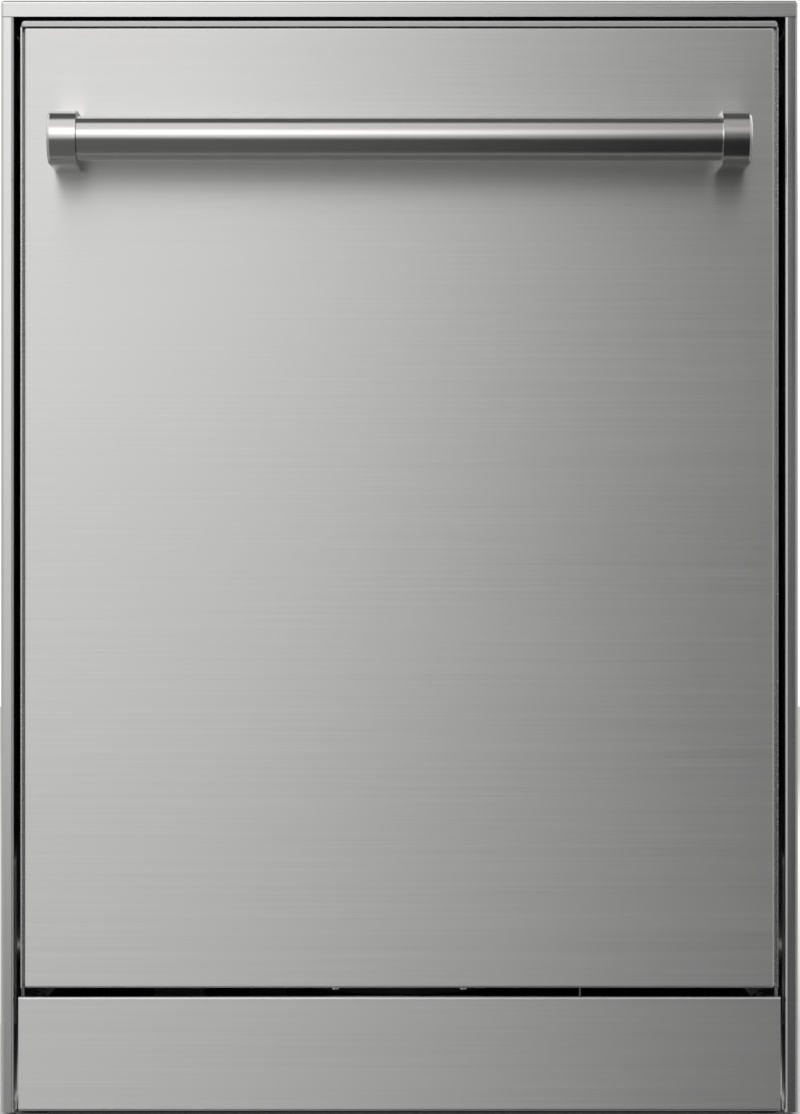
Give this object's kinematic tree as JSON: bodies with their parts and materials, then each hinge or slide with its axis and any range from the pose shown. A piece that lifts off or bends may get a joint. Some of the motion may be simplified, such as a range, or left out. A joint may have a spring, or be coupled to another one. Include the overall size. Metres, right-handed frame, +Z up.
{
  "type": "built in dishwasher",
  "caption": "Built in dishwasher with a brushed stainless casing, a flush drop-down door with a tubular bar handle, sliding racks, spray arms and a toe kick plate.",
  "frame": {"origin": "on the floor, under the middle of the outline", "axes": "+Z up, -Y out of the door, +X to the right of someone facing the door"},
  "size_m": [0.605, 0.6499, 0.847],
  "materials": {
    "stainless_front": "horizontal brushed",
    "stainless_casing": "horizontal brushed",
    "stainless_handle": "polished satin",
    "stainless_tub": "satin",
    "galvanised_sheet": "galvanised",
    "zinc_steel": "zinc plated",
    "zinc_screws": "zinc plated",
    "heater_steel": "satin, heat tinted",
    "black_plastic": "fine texture",
    "grey_plastic": "fine texture",
    "white_plastic": "satin",
    "dispenser_plastic": "satin",
    "dark_strip": "gloss",
    "button_plastic": "satin",
    "foot_plastic": "fine texture",
    "tray_plastic": "satin",
    "coated_wire": "smooth nylon coat",
    "grey_rubber": "matte",
    "felt_blanket": "felt"
  },
  "bodies": {
    "cabinet": {"casing_top": "stainless_casing", "casing_side_left": "stainless_casing", "casing_side_right": "stainless_casing", "casing_back": "galvanised_sheet", "casing_screws": "zinc_screws", "toe_kick": "stainless_front", "base_tray": "black_plastic", "tub": "stainless_tub", "tub_gasket": "grey_rubber", "sound_blanket": "felt_blanket", "hinge_brackets": "zinc_steel", "hinge_springs": "zinc_steel", "rack_rails": "stainless_tub", "sump": "grey_plastic", "coarse_filter": "stainless_tub", "circulation_pump": "black_plastic", "drain_pump": "grey_plastic", "heater": "heater_steel", "riser_duct": "grey_plastic", "inlet_valve": "white_plastic", "drain_outlet": "grey_plastic", "terminal_box": "black_plastic", "door_catch": "white_plastic"},
    "door": {"door_panel": "stainless_front", "door_liner": "stainless_tub", "door_insulation": "felt_blanket", "hinge_arms": "zinc_steel", "handle_bar": "stainless_handle", "handle_bracket_left": "stainless_handle", "handle_bracket_right": "stainless_handle", "door_screws": "zinc_screws", "control_strip": "dark_strip", "control_module": "white_plastic", "dispenser_body": "grey_plastic", "door_latch": "black_plastic"},
    "foot_front_left": {"foot_front_left": "foot_plastic"},
    "foot_front_right": {"foot_front_right": "foot_plastic"},
    "foot_rear_left": {"foot_rear_left": "foot_plastic"},
    "foot_rear_right": {"foot_rear_right": "foot_plastic"},
    "float_cap": {"float_cap": "grey_plastic"},
    "fine_filter": {"fine_filter": "grey_plastic"},
    "lower_spray_arm": {"lower_spray_arm": "grey_plastic"},
    "top_spray_arm": {"top_spray_arm": "grey_plastic"},
    "pump_impeller": {"pump_impeller": "white_plastic"},
    "button_power": {"button_power": "button_plastic"},
    "button_program": {"button_program": "button_plastic"},
    "button_delay": {"button_delay": "button_plastic"},
    "button_start": {"button_start": "button_plastic"},
    "dispenser_lid": {"dispenser_lid": "dispenser_plastic"},
    "rinse_aid_cap": {"rinse_aid_cap": "dispenser_plastic"},
    "upper_rack": {"upper_rack": "coated_wire"},
    "middle_spray_arm": {"middle_spray_arm": "grey_plastic"},
    "upper_tine_row": {"upper_tine_row": "coated_wire"},
    "rail_middle_members": {"rail_middle_members": "stainless_tub"},
    "lower_rack": {"lower_rack": "coated_wire"},
    "lower_tine_row": {"lower_tine_row": "coated_wire"},
    "rack_wheels_front": {"rack_wheels_front": "grey_plastic"},
    "rack_wheels_rear": {"rack_wheels_rear": "grey_plastic"},
    "cutlery_tray": {"cutlery_tray": "tray_plastic", "cutlery_grid": "tray_plastic"}
  },
  "joints": [
    {"name": "door_hinge", "type": "hinge", "parent": "cabinet", "child": "door", "pos_m": [0, -0.201, 0.16], "axis": [1, 0, 0], "range_deg": [0, 90], "stiffness_Nm_per_rad": 22, "deforming": ["hinge_springs"]},
    {"name": "upper_rack_slide", "type": "slide", "parent": "cabinet", "child": "upper_rack", "axis": [0, -1, 0], "range_m": [0, 0.4]},
    {"name": "rail_middle_slide", "type": "slide", "parent": "cabinet", "child": "rail_middle_members", "axis": [0, -1, 0], "range_m": [0, 0.2]},
    {"name": "cutlery_tray_slide", "type": "slide", "parent": "cabinet", "child": "cutlery_tray", "axis": [0, -1, 0], "range_m": [0, 0.3]},
    {"name": "lower_rack_slide", "type": "slide", "parent": "cabinet", "child": "lower_rack", "axis": [0, -1, 0], "range_m": [0, 0.15]},
    {"name": "front_wheels_roll", "type": "hinge", "parent": "lower_rack", "child": "rack_wheels_front", "pos_m": [0.238, -0.075, 0.1793], "axis": [1, 0, 0], "range_deg": [0, 540]},
    {"name": "rear_wheels_roll", "type": "hinge", "parent": "lower_rack", "child": "rack_wheels_rear", "pos_m": [0.238, 0.2, 0.1793], "axis": [1, 0, 0], "range_deg": [0, 540]},
    {"name": "lower_tines_fold", "type": "hinge", "parent": "lower_rack", "child": "lower_tine_row", "pos_m": [0, 0.07, 0.223], "axis": [1, 0, 0], "range_deg": [0, 85]},
    {"name": "upper_tines_fold", "type": "hinge", "parent": "upper_rack", "child": "upper_tine_row", "pos_m": [0, 0.04, 0.47], "axis": [1, 0, 0], "range_deg": [0, 85]},
    {"name": "lower_arm_spin", "type": "hinge", "parent": "cabinet", "child": "lower_spray_arm", "pos_m": [0, 0.042, 0.184], "axis": [0, 0, 1], "continuous": true},
    {"name": "middle_arm_spin", "type": "hinge", "parent": "upper_rack", "child": "middle_spray_arm", "pos_m": [0, 0.042, 0.435], "axis": [0, 0, 1], "continuous": true},
    {"name": "top_arm_spin", "type": "hinge", "parent": "cabinet", "child": "top_spray_arm", "pos_m": [0, 0.042, 0.789], "axis": [0, 0, 1], "continuous": true},
    {"name": "impeller_spin", "type": "hinge", "parent": "cabinet", "child": "pump_impeller", "pos_m": [0.05, 0.153, 0.09], "axis": [0, 1, 0], "continuous": true},
    {"name": "button_power_press", "type": "slide", "parent": "door", "child": "button_power", "axis": [0, 0, -1], "range_m": [0, 0.001], "stiffness_N_per_m": 500},
    {"name": "button_program_press", "type": "slide", "parent": "door", "child": "button_program", "axis": [0, 0, -1], "range_m": [0, 0.001], "stiffness_N_per_m": 500},
    {"name": "button_delay_press", "type": "slide", "parent": "door", "child": "button_delay", "axis": [0, 0, -1], "range_m": [0, 0.001], "stiffness_N_per_m": 500},
    {"name": "button_start_press", "type": "slide", "parent": "door", "child": "button_start", "axis": [0, 0, -1], "range_m": [0, 0.001], "stiffness_N_per_m": 500},
    {"name": "dispenser_lid_slide", "type": "slide", "parent": "door", "child": "dispenser_lid", "axis": [0, 0, -1], "range_m": [0, 0.068]},
    {"name": "rinse_cap_turn", "type": "hinge", "parent": "door", "child": "rinse_aid_cap", "pos_m": [0.04, -0.208, 0.572], "axis": [0, 1, 0], "range_deg": [0, 90]},
    {"name": "filter_twist", "type": "hinge", "parent": "cabinet", "child": "fine_filter", "pos_m": [0, -0.022, 0.11], "axis": [0, 0, 1], "range_deg": [0, 45]},
    {"name": "float_lift", "type": "slide", "parent": "cabinet", "child": "float_cap", "axis": [0, 0, 1], "range_m": [0, 0.008]},
    {"name": "foot_front_left_adjust", "type": "slide", "parent": "cabinet", "child": "foot_front_left", "axis": [0, 0, -1], "range_m": [0, 0.03]},
    {"name": "foot_front_right_adjust", "type": "slide", "parent": "cabinet", "child": "foot_front_right", "axis": [0, 0, -1], "range_m": [0, 0.03]},
    {"name": "foot_rear_left_adjust", "type": "slide", "parent": "cabinet", "child": "foot_rear_left", "axis": [0, 0, -1], "range_m": [0, 0.03]},
    {"name": "foot_rear_right_adjust", "type": "slide", "parent": "cabinet", "child": "foot_rear_right", "axis": [0, 0, -1], "range_m": [0, 0.03]}
  ],
  "couplings": [
    {"joint": "upper_rack_slide", "follows": "door_hinge", "m_per_rad": 0.2546},
    {"joint": "rail_middle_slide", "follows": "door_hinge", "m_per_rad": 0.1273},
    {"joint": "cutlery_tray_slide", "follows": "door_hinge", "m_per_rad": 0.1909},
    {"joint": "lower_rack_slide", "follows": "door_hinge", "m_per_rad": 0.0954},
    {"joint": "front_wheels_roll", "follows": "door_hinge", "ratio": 5.9625},
    {"joint": "rear_wheels_roll", "follows": "door_hinge", "ratio": 5.9625}
  ]
}
